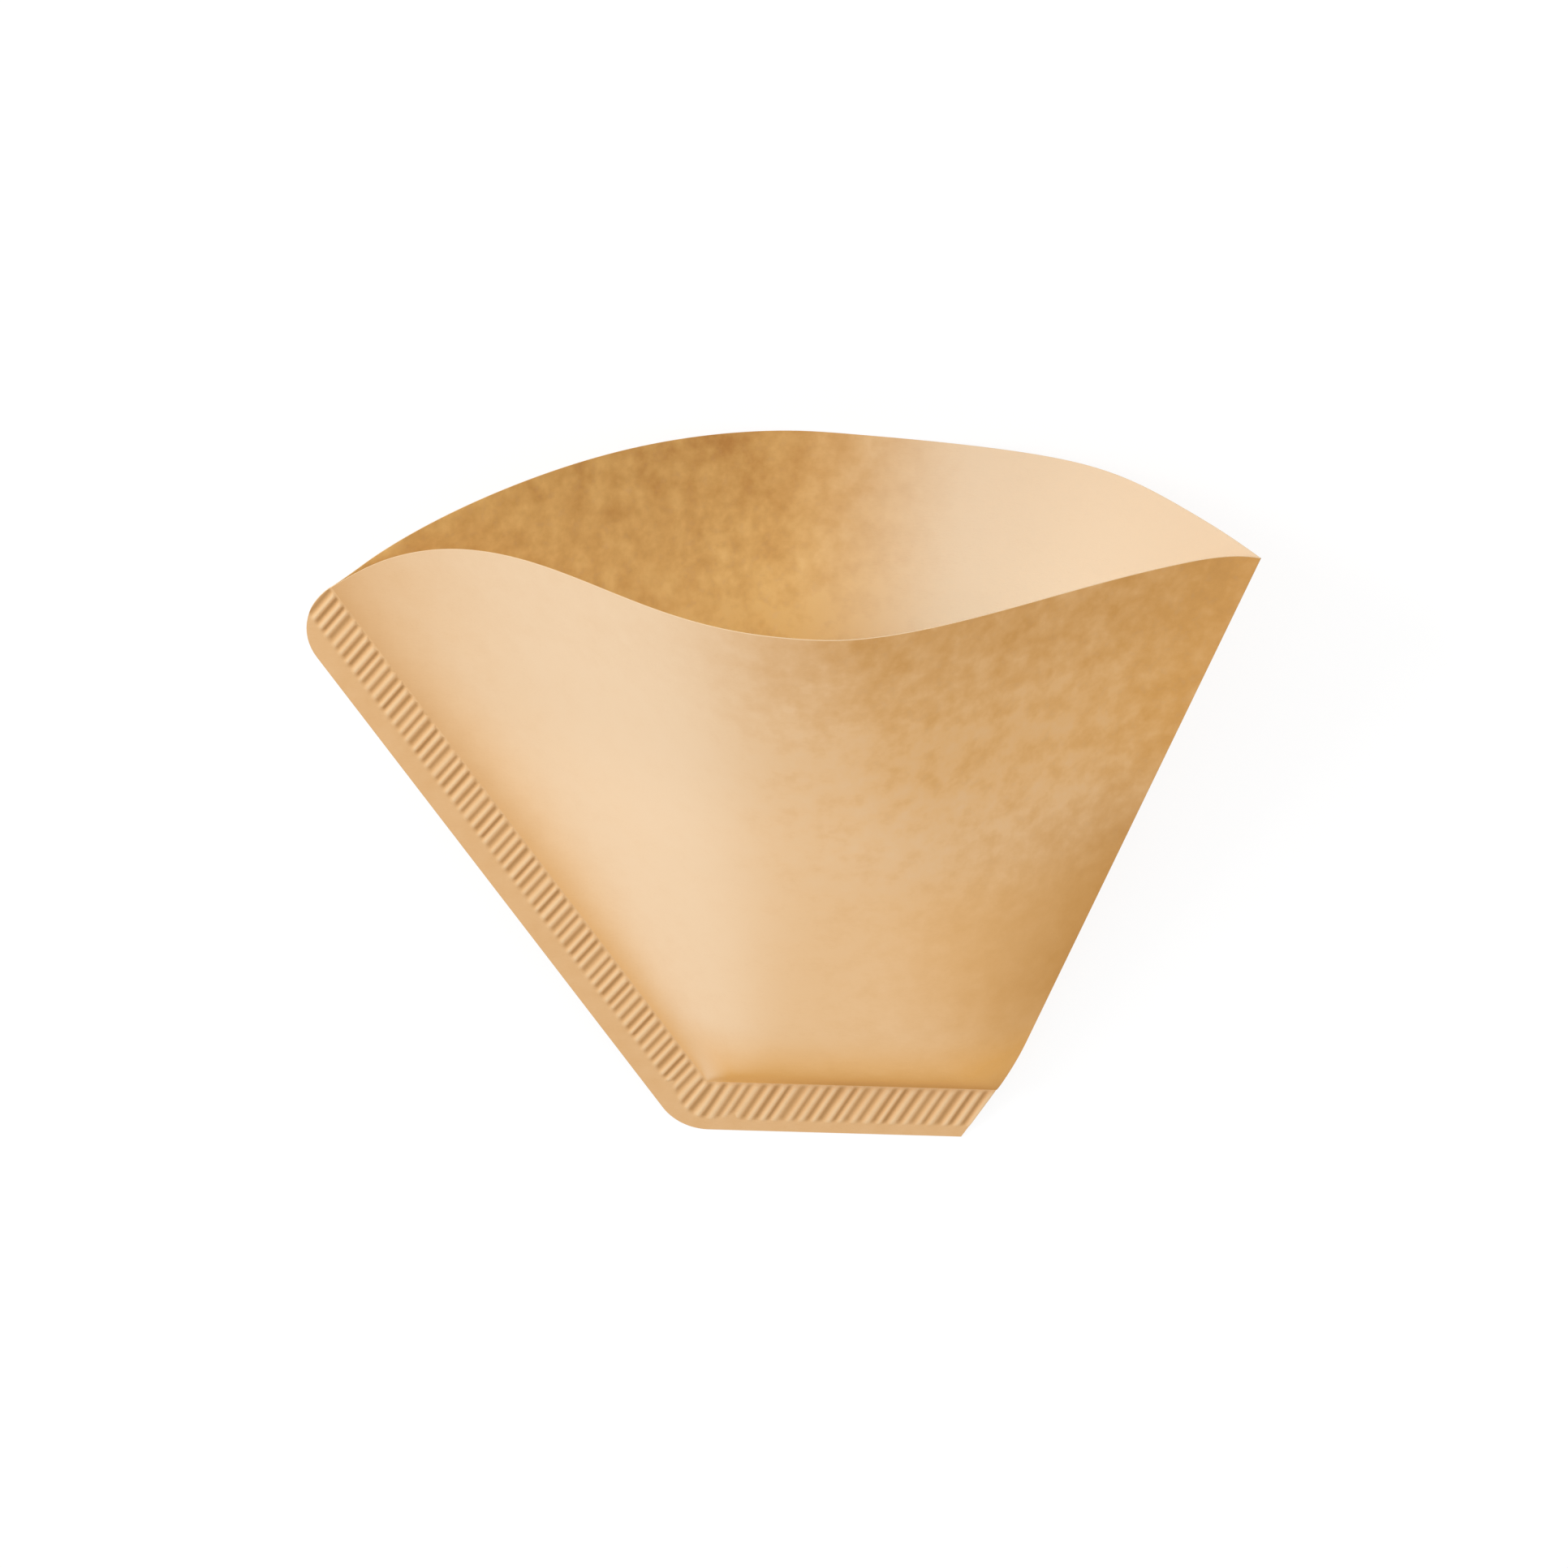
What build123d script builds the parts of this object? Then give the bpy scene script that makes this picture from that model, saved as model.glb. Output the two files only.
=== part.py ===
# Paper coffee filter of the trapezoid kind, opened by hand and lying on its back wall.
# One folded sheet: a fold on the right, a crimped seam down the left side and along the bottom.
# The sheet is drawn standing in its seam plane (X across, Y up to the mouth, Z to the front)
# and then laid down. Millimetres and degrees.
from math import atan2, ceil, cos, degrees, exp, floor, radians, sin, tan
import os

from build123d import *

# Sheet and outline
paper = 0.18  # one layer
bottom_width = 50.0  # bottom cut edge, corner to corner before rounding
crimp_angle = 34.4  # crimped side edge, from the upright
flange_angle = 29.7  # folded edge beside the bottom seam, from the upright
fold_kink = 14.6  # height where the opened wall starts to pull the fold inwards
fold_angle = 19.4  # folded edge above the kink, from the upright
crimp_corner_radius = 9.4  # rounded corner at the top of the crimped side
bottom_corner_radius = 10.0  # rounded corner between the two crimped edges

# Mouth and walls
mouth_height = 118.7
crimp_corner_height = 99.6  # top corner of the crimped side, before rounding
mouth_depth = 39.5  # seam plane to the crown of each wall, at the mouth
bottom_swell = 3.2  # depth that the walls gain at once where they leave the bottom seam
swell_length = 3.0  # height over which they gain it
crown_flat = 2.0  # flat stretch between a wall's two bends, at the top

# Crimped seam
side_margin = 3.7  # flat strip outside the side ridges
side_ridges = 5.9  # width of the ridged band on the side
bottom_margin = 2.4
bottom_ridges = 7.6
side_pitch = 1.97  # ridge spacing along the side edge
bottom_pitch = 2.3
side_lean = 18.1  # ridges, from square to the side edge
bottom_lean = 28.1  # ridges, from square to the bottom edge
ridge_height = 0.25  # crest above the middle of the seam
ridge_top = 0.28  # flat share of a ridge's pitch, at the crest and in the groove

# Working allowances
seam_lap = 0.2  # walls run this far into the seam
seam_clear = 0.2  # the walls part this far inside the seam
fold_clear = 0.25  # the walls part this far inside the fold
trim = 3.0  # seam left over outside the cut edges until it is trimmed

# Each wall bends twice, from the crimped seam up to its crown and down again to the fold. The
# crown's place and the curve handles beside the crown, the seam and the fold are shares of both
# bends' width together, and of the wall's depth.
front_bends = dict(crown=0.53, left=0.19, right=0.10, seam=(0.29, 0.03), fold=(0.15, 0.06))
back_bends = dict(crown=0.57, left=0.16, right=0.33, seam=(0.21, 0.03), fold=(0.14, 0.60))
bend_flats = 16  # flat facets of a bend

# The rim: its shoulder as shares of the mouth's width and of the rise from the crimped side's
# corner, then shares of the width and falls below the mouth's height, less than 0 where it is higher
rim_shoulder = (0.084, 0.47)
rim_line = ((0.27, -0.4), (0.48, -0.2), (0.76, 1.8), (0.91, 1.7), (1.0, 3.1))
rim_end_slope = -0.3  # of the rim where it meets the fold

half_bottom = bottom_width / 2
band_width = side_margin + side_ridges
seam_top = bottom_margin + bottom_ridges
wall_top = mouth_height + 2 * trim
section_rises = (0, 0.8, 2, 4, 8, 16, wall_top - seam_top)
seam_plane = Plane.XY


def side_x(height, inset):
    """Line parallel to the crimped side edge, inset from it."""
    slope = radians(crimp_angle)
    return inset / cos(slope) - half_bottom - height * tan(slope)


def fold_x(height):
    """Folded edge: straight up to the kink, then pulled in."""
    flat = min(height, fold_kink) * tan(radians(flange_angle))
    pulled = max(height - fold_kink, 0) * tan(radians(fold_angle))
    return half_bottom + flat + pulled


def wall_depth(height):
    """Depth of a crown: a quick swell at the bottom seam, then a straight slant to the mouth."""
    rise = height - seam_top + seam_lap
    slant = (mouth_depth - bottom_swell) / (mouth_height - seam_top)
    return bottom_swell * (1 - exp(-rise / swell_length)) + slant * rise


def bend(start, start_handle, end_handle, end):
    """Corners of a bend's facets, along a cubic curve drawn towards two handles."""
    corners = []
    for flat in range(bend_flats + 1):
        t = flat / bend_flats
        shares = ((1 - t) ** 3, 3 * t * (1 - t) ** 2, 3 * t**2 * (1 - t), t**3)
        pulls = list(zip(shares, (start, start_handle, end_handle, end)))
        corners.append(tuple(sum(share * point[axis] for share, point in pulls) for axis in (0, 1)))
    return corners


def pouch_section(height, inside):
    """Level section of the pouch, outside or inside the paper.

    Paper bends one way only, so a wall's two bends keep their form and grow with its depth, as
    parts of cones, and a flat triangle is left between them that narrows towards the mouth.
    """
    skin = paper if inside else 0
    depth = paper + wall_depth(height - skin / 2) - skin
    base = paper - skin
    seam_end = side_x(height, band_width)
    fold_end = fold_x(height)
    left = seam_end + (seam_clear if inside else -seam_lap)
    right = fold_end - (fold_clear if inside else 0)
    top_width = fold_x(wall_top) - side_x(wall_top, band_width) - crown_flat
    width = top_width * (paper + wall_depth(height)) / (paper + wall_depth(wall_top))
    walls = []
    for face, wall in ((1, front_bends), (-1, back_bends)):
        low = face * base
        high = face * depth
        seam_z, fold_z = [low + wall[end][1] * (high - low) for end in ("seam", "fold")]
        rise_end = seam_end + wall["crown"] * width
        fall_start = fold_end - (1 - wall["crown"]) * width
        walls.append(
            bend(
                (left, low),
                (seam_end + wall["seam"][0] * width + skin / 2, seam_z),
                (rise_end - wall["left"] * width + skin / 2, high),
                (rise_end, high),
            )
            + bend(
                (fall_start, high),
                (fall_start + wall["right"] * width - skin / 2, high),
                (fold_end - wall["fold"][0] * width - skin / 2, fold_z),
                (right, low),
            )
        )
    front, back = walls
    return front + (back[-2:0:-1] if inside else back[::-1])


def pouch(rises, inside):
    """Solid pouch of flat facets, spanned between its level sections at some rises above the seam."""
    heights = [seam_top + rise for rise in rises]
    rings = [[(x, height, z) for x, z in pouch_section(height, inside)] for height in heights]
    facets = [rings[0], rings[-1]]
    for low, high in zip(rings, rings[1:]):
        for corner in range(len(low)):
            facets.append((low[corner - 1], low[corner], high[corner]))
            facets.append((low[corner - 1], high[corner], high[corner - 1]))
    return Solid(Shell([Face(Wire.make_polygon(facet)) for facet in facets]))


def ridge_wave(pitch, start, end):
    """Section across the ridges: crests and grooves of equal width, two layers thick."""
    crest = ridge_top * pitch / 2
    bends = []
    for ridge in range(floor(start / pitch), ceil(end / pitch)):
        middle = ridge * pitch
        bends += [(middle - crest, ridge_height), (middle + crest, ridge_height)]
        bends += [(middle + pitch / 2 + side, -ridge_height) for side in (-crest, crest)]
    upper = [(x, z + paper) for x, z in bends]
    lower = [(x, z - paper) for x, z in reversed(bends)]
    return upper + lower


def ridge_plane(corner, lean_from_x):
    """Plane square to ridges that run through corner at an angle from the X axis."""
    run = radians(lean_from_x)
    return Plane(origin=(*corner, 0), x_dir=(sin(run), -cos(run), 0), z_dir=(cos(run), sin(run), 0))


# The two ridged bands meet along a line through the inner corner of the seam.
inner_corner = (side_x(seam_top, band_width), seam_top)
side_run = crimp_angle + side_lean
bottom_run = 90 - bottom_lean
split_run = radians((side_run + bottom_run) / 2)
split_length = 3 * seam_top  # well past the outer corner of the seam
split_end = (
    inner_corner[0] - split_length * cos(split_run),
    inner_corner[1] - split_length * sin(split_run),
)
reach = wall_top / cos(radians(crimp_angle))


# Ridged band along the side and the bottom, rounded at its outer corner
outer_corner = (side_x(bottom_margin, side_margin), bottom_margin)
with BuildSketch(seam_plane) as ridged_band:
    with BuildLine():
        Polyline(
            (side_x(wall_top, band_width), wall_top),
            inner_corner,
            (fold_x(seam_top), seam_top),
            (fold_x(bottom_margin), bottom_margin),
            outer_corner,
            (side_x(wall_top, side_margin), wall_top),
            close=True,
        )
    make_face()
    corner = ridged_band.vertices().sort_by_distance(outer_corner)[0]
    fillet(corner, bottom_corner_radius - side_margin)

# Everything on the bottom seam's side of the split
with BuildSketch(seam_plane) as bottom_side:
    with BuildLine():
        Polyline(inner_corner, split_end, (reach, -reach), (reach, seam_top), close=True)
    make_face()

# Ridges pressed into the two layers of the side seam
with BuildPart() as side_crimp:
    pitch = side_pitch * cos(radians(side_lean))
    with BuildSketch(ridge_plane(inner_corner, side_run)):
        with BuildLine():
            Polyline(*ridge_wave(pitch, -reach, seam_top), close=True)
        make_face()
    extrude(amount=reach, both=True)
    extrude(ridged_band.sketch, amount=seam_top, both=True, mode=Mode.INTERSECT)
    extrude(bottom_side.sketch, amount=seam_top, both=True, mode=Mode.SUBTRACT)

# Ridges pressed into the two layers of the bottom seam
with BuildPart() as bottom_crimp:
    pitch = bottom_pitch * cos(radians(bottom_lean))
    with BuildSketch(ridge_plane(inner_corner, bottom_run)):
        with BuildLine():
            Polyline(*ridge_wave(pitch, -seam_top, fold_x(seam_top) - inner_corner[0]), close=True)
        make_face()
    extrude(amount=reach, both=True)
    extrude(ridged_band.sketch, amount=seam_top, both=True, mode=Mode.INTERSECT)
    extrude(bottom_side.sketch, amount=seam_top, both=True, mode=Mode.INTERSECT)

# The folded sheet: walls, flat seam margins and ridged bands, trimmed to the cut outline
with BuildPart() as sheet:
    add(pouch(section_rises, inside=False))
    add(pouch(section_rises[1:], inside=True), mode=Mode.SUBTRACT)

    with BuildSketch(seam_plane.offset(-paper)):
        with BuildLine():
            Polyline(
                (side_x(wall_top, -trim), wall_top),
                (side_x(-trim, -trim), -trim),
                (fold_x(-trim), -trim),
                (fold_x(seam_top), seam_top),
                inner_corner,
                (side_x(wall_top, band_width), wall_top),
                close=True,
            )
        make_face()
    extrude(amount=2 * paper)

    extrude(ridged_band.sketch, amount=seam_top, both=True, mode=Mode.SUBTRACT)
    add(side_crimp.part)
    add(bottom_crimp.part)

    mouth_left = side_x(mouth_height, band_width)
    mouth_width = fold_x(mouth_height) - mouth_left
    shoulder_rise = rim_shoulder[1] * (mouth_height - crimp_corner_height)
    rim = [(mouth_left + rim_shoulder[0] * mouth_width, crimp_corner_height + shoulder_rise)]
    rim += [(mouth_left + share * mouth_width, mouth_height - fall) for share, fall in rim_line]
    crimp_corner = (side_x(crimp_corner_height, 0), crimp_corner_height)
    bottom_corner = (-half_bottom, 0)
    with BuildSketch(seam_plane) as blank:
        with BuildLine():
            Line(crimp_corner, rim[0])
            Spline(*rim, tangents=[Vector(*rim[0]) - Vector(*crimp_corner), (1, rim_end_slope)])
            Polyline(
                rim[-1],
                (reach, rim[-1][1] - trim),
                (reach, 0),
                bottom_corner,
                crimp_corner,
            )
        make_face()
        fillet(blank.vertices().sort_by_distance(crimp_corner)[0], crimp_corner_radius)
        fillet(blank.vertices().sort_by_distance(bottom_corner)[0], bottom_corner_radius)
    extrude(amount=2 * mouth_depth, both=True, mode=Mode.INTERSECT)

# Laid on its back: the bottom cut edge and the crown of the back rim touch the table.
table_edge = Axis((0, 0, -paper), (1, 0, 0))
upper_corners = [corner for corner in sheet.vertices() if corner.Y > seam_top]
lean = max(atan2(-corner.Z - paper, corner.Y) for corner in upper_corners)
laid = sheet.part.rotate(table_edge, degrees(lean))
box = laid.bounding_box()

with BuildPart() as filter_paper:
    add(laid.moved(Location((-box.center().X, -box.center().Y, -box.min.Z))))

os.makedirs("parts", exist_ok=True)
filter_paper.part.label = "filter_paper"
export_step(filter_paper.part, "parts/filter_paper.step")
print("lean", degrees(lean), "moved by", -box.center().X, -box.center().Y, -box.min.Z)
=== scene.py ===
import bpy
import numpy as np
from mathutils import Matrix, Vector


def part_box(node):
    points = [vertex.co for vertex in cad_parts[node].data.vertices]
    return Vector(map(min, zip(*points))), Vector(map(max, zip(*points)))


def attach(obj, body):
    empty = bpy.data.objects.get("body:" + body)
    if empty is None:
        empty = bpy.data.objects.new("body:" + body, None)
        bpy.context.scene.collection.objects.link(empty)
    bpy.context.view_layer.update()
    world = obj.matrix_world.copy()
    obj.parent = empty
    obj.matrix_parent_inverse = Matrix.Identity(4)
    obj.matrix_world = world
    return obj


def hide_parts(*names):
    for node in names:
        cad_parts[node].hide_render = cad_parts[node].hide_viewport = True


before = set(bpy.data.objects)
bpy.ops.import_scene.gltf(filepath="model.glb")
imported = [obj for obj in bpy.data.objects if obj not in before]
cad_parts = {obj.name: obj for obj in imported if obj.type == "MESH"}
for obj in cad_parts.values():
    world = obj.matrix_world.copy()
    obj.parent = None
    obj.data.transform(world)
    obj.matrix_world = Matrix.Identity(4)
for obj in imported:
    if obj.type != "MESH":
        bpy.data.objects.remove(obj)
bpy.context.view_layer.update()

# The folded sheet in millimetres, standing in its seam plane:
# x across from the crimped side to the fold, y up to the mouth, z to the front.
sheet = {
    "paper": 0.18,
    "bottomWidth": 50.0,
    "crimpAngle": 34.4,        # degrees from the upright
    "flangeAngle": 29.7,
    "foldKink": 14.6,          # above this height the fold is pulled in
    "foldAngle": 19.4,
    "kinkReach": 5.5,          # the kink is eased over this much on each side
    "crimpCornerRadius": 9.4,
    "bottomCornerRadius": 10.0,
    "mouthHeight": 118.7,
    "crimpCornerHeight": 99.6,
    "mouthDepth": 39.5,
    "bottomSwell": 3.2,
    "swellLength": 3.0,
    "swellEase": 1.4,          # over 1, the walls leave the seam softly
    "crownFlat": 2.0,
    "bandWidth": 9.6,
    "seamTop": 10.0,
    "wallTop": 124.7,
    "rimShoulder": (0.084, 0.47),  # shares of the width and of the rise from the crimped corner
    "rimLine": ((0.27, -0.4), (0.48, -0.2), (0.76, 1.8), (0.91, 1.7), (1.0, 3.1)),  # shares and falls
    "rimEndSlope": -0.3,
    "rimPoints": 240,
    "cornerPoints": (16, 20),  # of the rounded corners at the top of the side and at the bottom
    "rippleHeight": 0.10,      # faint unevenness of the soft walls
    "ripples": ((7.3, 19.0, 0.0), (13.1, -11.7, 1.7), (31.0, 8.9, 0.0)),  # run across, run up, start
    "rippleStart": 6.0,        # full where the wall is this much deeper than the seam
    "lean": 18.4345,           # degrees, lying on the bottom edge and the back rim
    # heights, and how far the bends are rounded there
    "softReach": ((10.0, 2.0), (24.0, 5.0), (60.0, 9.0), (95.0, 6.0), (125.0, 2.0)),
    "softEnd": 0.4,            # most of the way to seam or fold that the rounding may reach
    "softLeast": 0.01,
    "tableSize": (300, 700, 321),  # heights, points of a section, shares of the width
    "rowEase": 1.7,            # over 1, rows stand closer together low down
    "rimRounds": 30,           # in which the top row settles on the rim
    "foldColumns": 7,
    "foldBulge": 1.6,          # in thicknesses of the paper
    "columns": 110,
    "columnEase": 0.5,         # over 0, columns stand closer together at the seam and the fold
    "rows": 110,
}
# a wall's crown and the handles of its two bends, as shares of its width and depth; the low values
# hold at the bottom seam and give way to the others over lowLength millimetres
frontWall = {
    "face": 1, "crown": 0.53, "left": 0.19, "right": 0.10,
    "seam": (0.29, 0.03), "fold": (0.15, 0.06),
    "lowLeft": 0.22, "lowRight": 0.30, "lowFold": (0.06, 0.60), "lowLength": 36.0,
}
backWall = {
    "face": -1, "crown": 0.57, "left": 0.16, "right": 0.33,
    "seam": (0.21, 0.03), "fold": (0.14, 0.60),
    "lowLeft": 0.20, "lowRight": 0.30, "lowFold": (0.10, 0.70), "lowLength": 36.0,
}
crimp = {
    "sideMargin": 3.7,
    "bottomMargin": 2.4,
    "sidePitch": 1.97,
    "bottomPitch": 2.3,
    "sideLean": 18.1,          # degrees from square to the edge
    "bottomLean": 28.1,
    "ridgeHeight": 0.30,
    "fadeOut": 0.8,            # millimetres over which a ridge runs out at its ends
    "turn": 40.0,              # degrees around the corner over which the ridges change direction
    # the ridges are not quite even: share, pace and start of the waves in their spacing and height
    "drift": ((0.05, 2.1, 0.0), (0.04, 3.7, 1.0)),
    "uneven": (0.12, 1.3, 0.4),
    "rowStep": 0.21,
    "columns": 24,
}

# painted light and shade: how the paper's tone follows its form under the key light from the crimped side,
# as shares of the tints in paperLook;
# heights, reaches and runs are in millimetres, and a pair of heights is where a change starts and where it
# is complete
tone = {
    "turn": (-0.67, 0.45),       # of the normal, from the lit side to the side away from the light
    "outsideWarmth": 0.72,
    "outsideCloudy": 1.05,
    "cloudyShare": (0.3, 0.55),  # across the wall, where the clouds start
    "lowPart": (45.0, 80.0),     # the smooth lower part ends
    "lowCloudy": 0.8,            # share of the clouds that the lower part lacks
    "belt": (70.0, 11.0, 0.19),  # painted light, a paler belt across the front: its height, half width and share
    "beltStart": (-15.0, 15.0),  # across, from the middle
    "beltDim": 0.2,
    "belly": 0.055,              # painted light: how much brighter the front's middle is
    "bellyPart": ((12.0, 30.0), (68.0, 94.0)),  # it starts and ends
    "bellyReach": 30.0,          # and it ends this near to the fold
    "rimPart": (90.0, 116.0),    # painted shade darkens the paper to the rim
    "rimDim": (0.05, 0.30),      # on the crimped half and on the folded half
    "rimWarmth": 0.11,
    "insideShare": (0.45, 0.73),    # across the wall, where the inside goes from golden painted light through the paper to pale
    "insideWarmth": (-1.0, -0.35),  # pale half, deep inside and at the rim
    "goldenWarmth": (0.20, 0.92),   # golden half, deep inside and at the rim
    "insideGold": (0.70, 0.60),
    "insideDim": (0.40, 0.74),      # at the crimped side and at the middle
    "insideDimShare": (0.1, 0.55),  # across the wall, from the one to the other
    "insidePart": (88.0, 119.0),    # painted shade darkens the inside to the rim
    "insideEase": 0.8,              # under 1, it darkens sooner
    "insideCloudy": 1.4,
    "insideBright": 0.06,           # painted light away from the rim
    "insideDeep": (45.0, 80.0),     # the one plain tone deep inside ends
    "deepWarmth": 0.15,
    "deepGold": 0.20,
    "deepCloudy": 0.7,              # share of the clouds that it lacks
    "foldReach": (13.0, 18.0),   # low down and at the mouth
    "foldFoot": (14.0, 38.0),    # the painted shade along the fold starts
    "foldWarmth": 0.30,
    "foldDim": 0.21,
    "lowFoldDim": 0.32,
    "lowFoldPart": (60.0, 80.0),  # the deeper painted shade low on the fold ends
    "seamPart": (13.0, 27.0),    # the painted shade line above the bottom seam ends
    "seamRun": 22.0,             # it grows darker over this length
    "seamWarmth": (0.44, 0.30),  # over that height, and more right above the seam
    "seamReach": 2.5,
    "seamDim": 0.64,
    "sideReach": 5.5,
    "sidePart": (40.0, 95.0),    # the shade along the side seam goes from low to top
    "sideWarmth": (0.28, 0.06),  # low down and at the top
    "sideDim": (0.15, 0.32),
    "sideClear": 6.0,            # from the side seam to where the painted shade line and the painted light of the belly are full
    # painted shade on the flat crimped band beside the walls
    "seamBand": {"warmth": 0.52, "paintedShadeAndFibreDim": 0.21, "paintedThroughLightClouds": 0.15},
    # cut edges of the rim: warmer, and paler in the cut colour, partly by cut fibres and partly by a painted
    # highlight
    "rimCut": {"warmth": 0.3, "cutEdge": 1.0},
}

halfBottom = sheet["bottomWidth"] / 2
crimpSlope = np.radians(sheet["crimpAngle"])


def sideX(height, inset):
    # line parallel to the crimped side edge, inset from it
    return inset / np.cos(crimpSlope) - halfBottom - height * np.tan(crimpSlope)


def foldX(height):
    # folded edge: straight up to the kink, then pulled in, eased by a parabola between the two
    flat = np.tan(np.radians(sheet["flangeAngle"]))
    pulled = np.tan(np.radians(sheet["foldAngle"]))
    past, reach = height - sheet["foldKink"], sheet["kinkReach"]
    eased = np.where(np.abs(past) < reach, (past + reach) ** 2 / (4 * reach), np.maximum(past, 0))
    return halfBottom + height * flat - eased * (flat - pulled)


def wallDepth(height):
    # a soft quick swell above the bottom seam, then a straight slant to the mouth
    rise = np.maximum(height - sheet["seamTop"], 0)
    slant = (sheet["mouthDepth"] - sheet["bottomSwell"]) / (sheet["mouthHeight"] - sheet["seamTop"])
    eased = 1 - np.exp(-((rise / sheet["swellLength"]) ** sheet["swellEase"]))
    return sheet["bottomSwell"] * eased + slant * rise * eased


def smooth(low, high, x):
    # smoothstep from low to high
    t = np.clip((x - low) / (high - low), 0, 1)
    return t * t * (3 - 2 * t)


def bezier(t, start, startHandle, endHandle, end):
    # cubic Bernstein blend of four values
    ends = (1 - t) ** 3 * start + t**3 * end
    return ends + 3 * t * (1 - t) * ((1 - t) * startHandle + t * endHandle)


def between(pair, share):
    # straight blend of two values
    return pair[0] + (pair[1] - pair[0]) * share


def rimCurve(count):
    # cubic spline through the rim's points by share of its length, clamped to the end directions;
    # returns heights over x, from the top of the crimped side to the fold
    left = sideX(sheet["mouthHeight"], sheet["bandWidth"])
    width = foldX(sheet["mouthHeight"]) - left
    corner = np.array([sideX(sheet["crimpCornerHeight"], 0), sheet["crimpCornerHeight"]])
    share, rise = sheet["rimShoulder"]
    marks = [(left + share * width, corner[1] + rise * (sheet["mouthHeight"] - corner[1]))]
    marks += [(left + share * width, sheet["mouthHeight"] - fall) for share, fall in sheet["rimLine"]]
    marks = np.array(marks)
    steps = np.linalg.norm(np.diff(marks, axis=0), axis=1)
    knots = np.concatenate([[0], np.cumsum(steps)])
    first = (marks[0] - corner) / np.linalg.norm(marks[0] - corner)
    last = np.array([1, sheet["rimEndSlope"]]) / np.hypot(1, sheet["rimEndSlope"])
    n = len(marks)
    system = np.zeros((n, n))
    target = np.zeros((n, 2))
    system[0, 0] = system[-1, -1] = 1
    target[0], target[-1] = first, last
    inner = np.arange(1, n - 1)
    system[inner, inner - 1] = 1 / steps[:-1]
    system[inner, inner] = 2 / steps[:-1] + 2 / steps[1:]
    system[inner, inner + 1] = 1 / steps[1:]
    jumps = np.diff(marks, axis=0)
    target[1:-1] = 3 * (jumps[:-1] / steps[:-1, None] ** 2 + jumps[1:] / steps[1:, None] ** 2)
    slopes = np.linalg.solve(system, target)
    along = np.linspace(0, knots[-1], count)
    span = np.clip(np.searchsorted(knots, along, side="right") - 1, 0, n - 2)
    t = ((along - knots[span]) / steps[span])[:, None]
    handle = steps[span][:, None] / 3
    curve = bezier(t, marks[span], marks[span] + slopes[span] * handle,
                   marks[span + 1] - slopes[span + 1] * handle, marks[span + 1])
    return np.vstack([corner, curve])


rim = rimCurve(sheet["rimPoints"])


def rimHeight(x):
    # straight-line reading between the rim's points
    return np.interp(x, rim[:, 0], rim[:, 1])


def wallSection(wall, column, height):
    # level section of a wall: column 0 to 1 is the bend from the seam up to the crown, 1 to 2 the
    # flat stretch, 2 to 3 the bend down to the fold; the bends grow with the wall's depth
    base = sheet["paper"] / 2
    depth = base + wallDepth(height)
    seamEnd = sideX(height, sheet["bandWidth"])
    foldEnd = foldX(height)
    topWidth = foldX(sheet["wallTop"]) - sideX(sheet["wallTop"], sheet["bandWidth"]) - sheet["crownFlat"]
    width = topWidth * depth / (base + wallDepth(sheet["wallTop"]))
    riseEnd = seamEnd + wall["crown"] * width
    fallStart = foldEnd - (1 - wall["crown"]) * width
    # the wall is fuller and rounder low down
    low = np.exp(-(height - sheet["seamTop"]) / wall["lowLength"])
    endX, endZ = (between(pair, low) for pair in zip(wall["fold"], wall["lowFold"]))
    left = between((wall["left"], wall["lowLeft"]), low)
    right = between((wall["right"], wall["lowRight"]), low)
    lift = depth - base
    a = np.clip(column, 0, 1)
    b = np.clip(column - 1, 0, 1)
    c = np.clip(column - 2, 0, 1)
    riseX = bezier(a, seamEnd, seamEnd + wall["seam"][0] * width, riseEnd - left * width, riseEnd)
    riseZ = bezier(a, base, base + wall["seam"][1] * lift, depth, depth)
    fallX = bezier(c, fallStart, fallStart + right * width, foldEnd - endX * width, foldEnd)
    fallZ = bezier(c, depth, depth, base + endZ * lift, base)
    x = np.where(column < 1, riseX, np.where(column < 2, between((riseEnd, fallStart), b), fallX))
    z = np.where(column < 1, riseZ, np.where(column < 2, depth, fallZ))
    return x, z


def softWall(wall):
    # depth of a wall over its height and the share of its width, each section averaged over a bell
    # curve, because paper doesn't crease where nothing presses it; the averaging ends at seam and fold
    heightCount, pointCount, shareCount = sheet["tableSize"]
    rise = np.linspace(0, 1, heightCount)[:, None] ** sheet["rowEase"]
    height = between((sheet["seamTop"], sheet["wallTop"]), rise)
    x, z = wallSection(wall, np.linspace(0, 3, pointCount)[None, :], height)
    left = sideX(height, sheet["bandWidth"])
    width = foldX(height) - left
    share = np.linspace(0, 1, shareCount)
    reach = np.interp(height, *zip(*sheet["softReach"]))
    gap = share[None, :] - share[:, None]
    toEnd = np.minimum(share, 1 - share)
    rows = []
    for line in range(len(height)):
        depth = np.interp(share, (x[line] - left[line]) / width[line], z[line])
        bell = np.minimum(reach[line], sheet["softEnd"] * toEnd * width[line]) + sheet["softLeast"]
        weight = np.exp(-0.5 * (gap * width[line] / bell[:, None]) ** 2)
        rows.append(weight @ depth / weight.sum(axis=1))
    return height[:, 0], share, np.stack(rows)


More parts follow.
